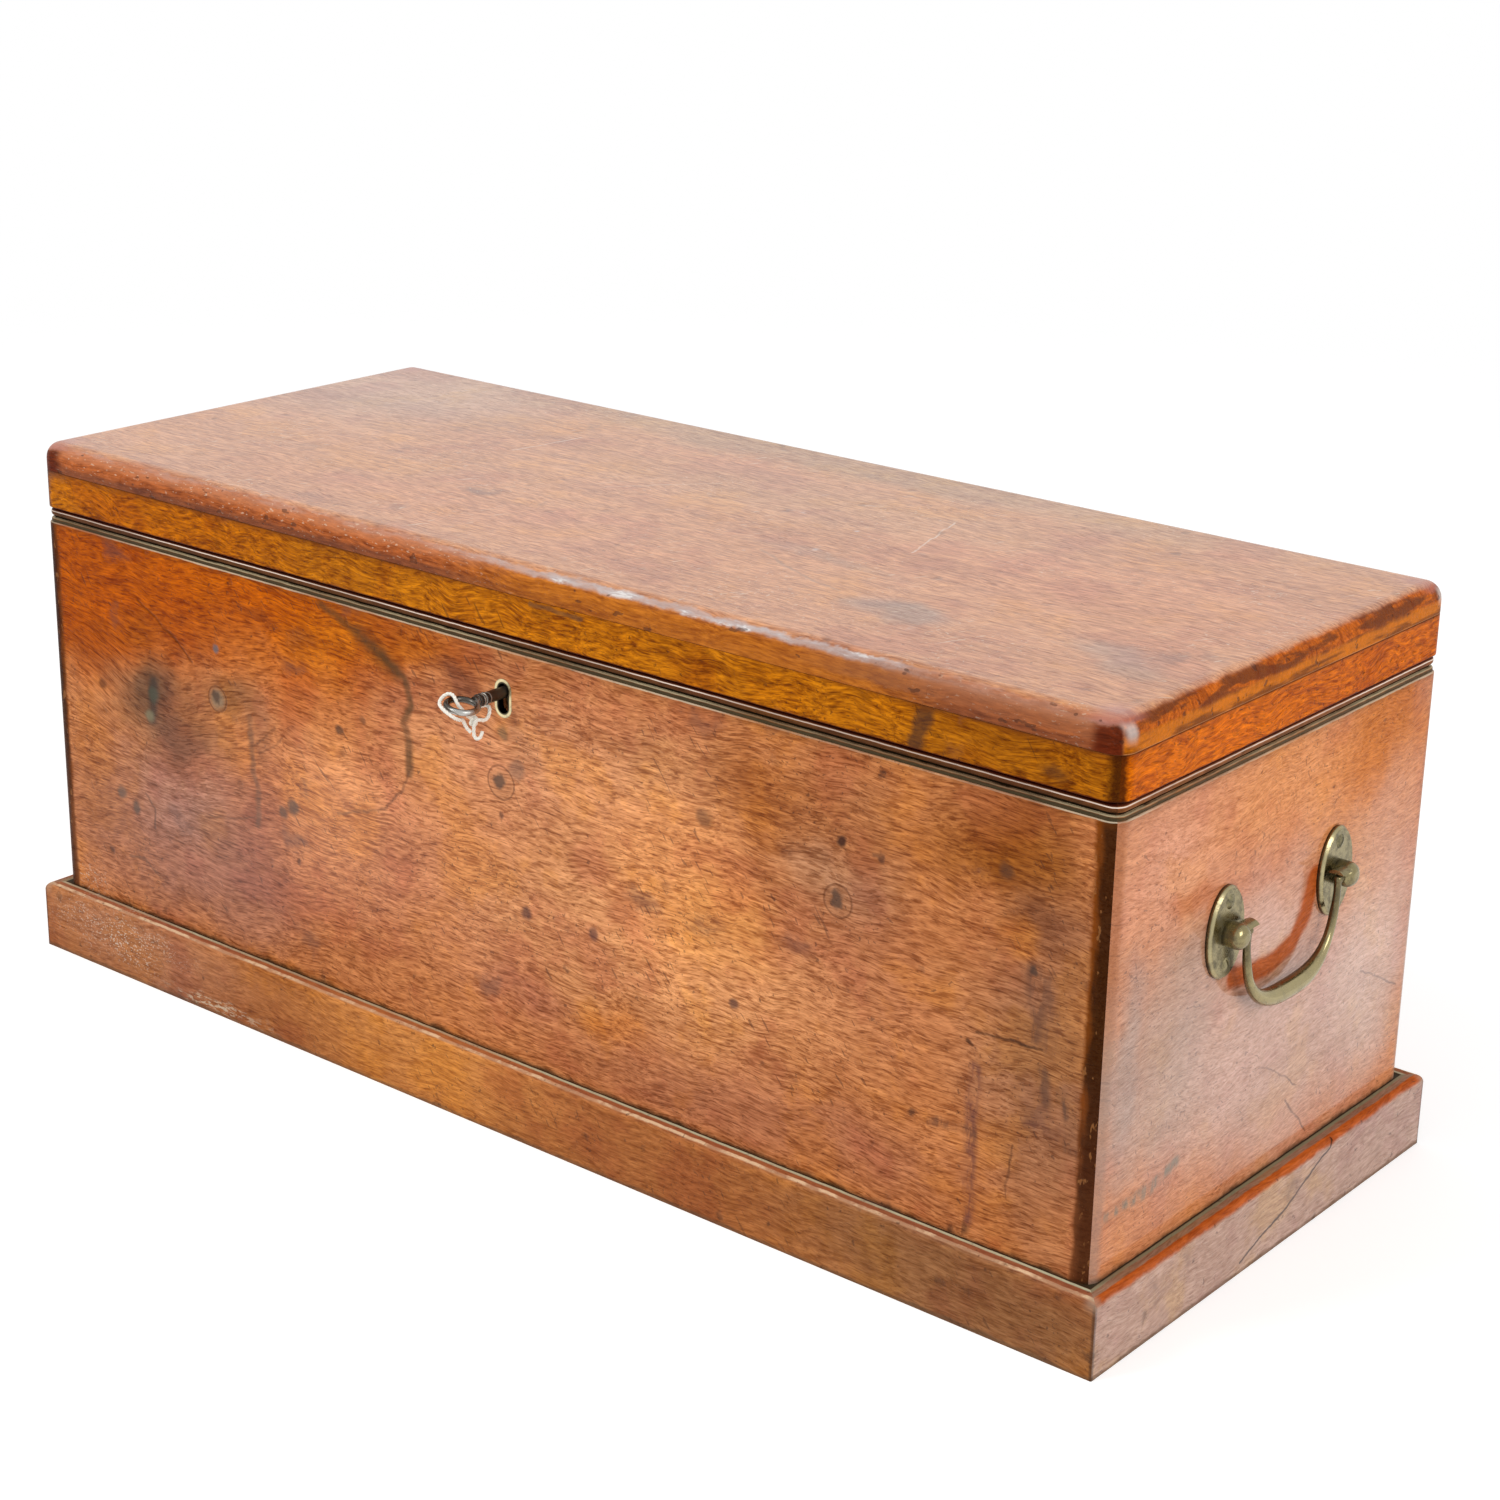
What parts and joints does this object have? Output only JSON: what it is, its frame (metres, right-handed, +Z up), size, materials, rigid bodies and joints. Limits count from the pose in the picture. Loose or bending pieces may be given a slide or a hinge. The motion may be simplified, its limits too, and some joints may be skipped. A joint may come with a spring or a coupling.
{
  "type": "wooden storage box",
  "caption": "Low hardwood box with a hinged lid, moulded rim, plinth, box lock with its key and string, and bail handles on the ends.",
  "frame": {"origin": "on the floor under the centre of the outline, with the key and without its string", "axes": "+Z up, +X along the length towards the right end, -Y out of the front, where the key is"},
  "size_m": [0.737, 0.3371, 0.3026],
  "materials": {
    "carcase_wood": "worn satin",
    "lid_top_wood": "worn satin",
    "lid_rail_wood": "worn satin",
    "bead_wood": "dusty satin",
    "plinth_wood": "worn satin",
    "inside_wood": "dry",
    "brass": "aged satin",
    "handle_brass": "patinated",
    "steel": "satin",
    "key_steel": "polished by handling",
    "cotton": "matt"
  },
  "bodies": {
    "carcase": {"back_board": "carcase_wood", "bolt_spring": "steel", "bottom_board": "inside_wood", "drill_pin": "steel", "escutcheon": "brass", "front_board": "carcase_wood", "glue_blocks": "inside_wood", "hinge_left_lower_leaf": "brass", "hinge_left_lower_screws": "brass", "hinge_left_pin": "steel", "hinge_right_lower_leaf": "brass", "hinge_right_lower_screws": "brass", "hinge_right_pin": "steel", "left_end_board": "carcase_wood", "left_handle_front_plate": "handle_brass", "left_handle_front_screws": "handle_brass", "left_handle_rear_plate": "handle_brass", "left_handle_rear_screws": "handle_brass", "lock_cap": "brass", "lock_case": "brass", "lock_screws": "brass", "plinth_back": "plinth_wood", "plinth_front": "plinth_wood", "plinth_left": "plinth_wood", "plinth_right": "plinth_wood", "right_end_board": "carcase_wood", "right_handle_front_plate": "handle_brass", "right_handle_front_screws": "handle_brass", "right_handle_rear_plate": "handle_brass", "right_handle_rear_screws": "handle_brass", "rim_bead_back": "bead_wood", "rim_bead_front": "bead_wood", "rim_bead_left": "bead_wood", "rim_bead_right": "bead_wood", "selvedge_screws": "brass"},
    "lid": {"hinge_left_upper_leaf": "brass", "hinge_left_upper_screws": "brass", "hinge_right_upper_leaf": "brass", "hinge_right_upper_screws": "brass", "lid_back_rail": "lid_rail_wood", "lid_front_rail": "lid_rail_wood", "lid_left_rail": "lid_rail_wood", "lid_right_rail": "lid_rail_wood", "lid_top_board": "lid_top_wood", "link_plate": "brass", "link_plate_screws": "brass", "link_staple": "brass"},
    "right_bail": {"right_bail": "handle_brass"},
    "left_bail": {"left_bail": "handle_brass"},
    "lock_bolt": {"lock_bolt": "steel"},
    "key": {"key": "key_steel", "key_string": "cotton", "string_knot": "cotton"}
  },
  "joints": [
    {"name": "lid_hinge", "type": "hinge", "parent": "carcase", "child": "lid", "pos_m": [0, 0.16145, 0.26545], "axis": [-1, 0, 0], "range_deg": [0, 100]},
    {"name": "right_bail_swing", "type": "hinge", "parent": "carcase", "child": "right_bail", "pos_m": [0.3635, 0.01395, 0.18], "axis": [0, -1, 0], "range_deg": [0, 90]},
    {"name": "left_bail_swing", "type": "hinge", "parent": "carcase", "child": "left_bail", "pos_m": [-0.3635, 0.01395, 0.18], "axis": [0, 1, 0], "range_deg": [0, 90]},
    {"name": "key_turn", "type": "hinge", "parent": "carcase", "child": "key", "pos_m": [0, -0.12955, 0.2356], "axis": [0, 1, 0], "range_deg": [0, 80]},
    {"name": "bolt_slide", "type": "slide", "parent": "carcase", "child": "lock_bolt", "axis": [-1, 0, 0], "range_m": [0, 0.0075]}
  ],
  "couplings": [
    {"joint": "bolt_slide", "follows": "key_turn", "m_per_rad": 0.00537}
  ]
}
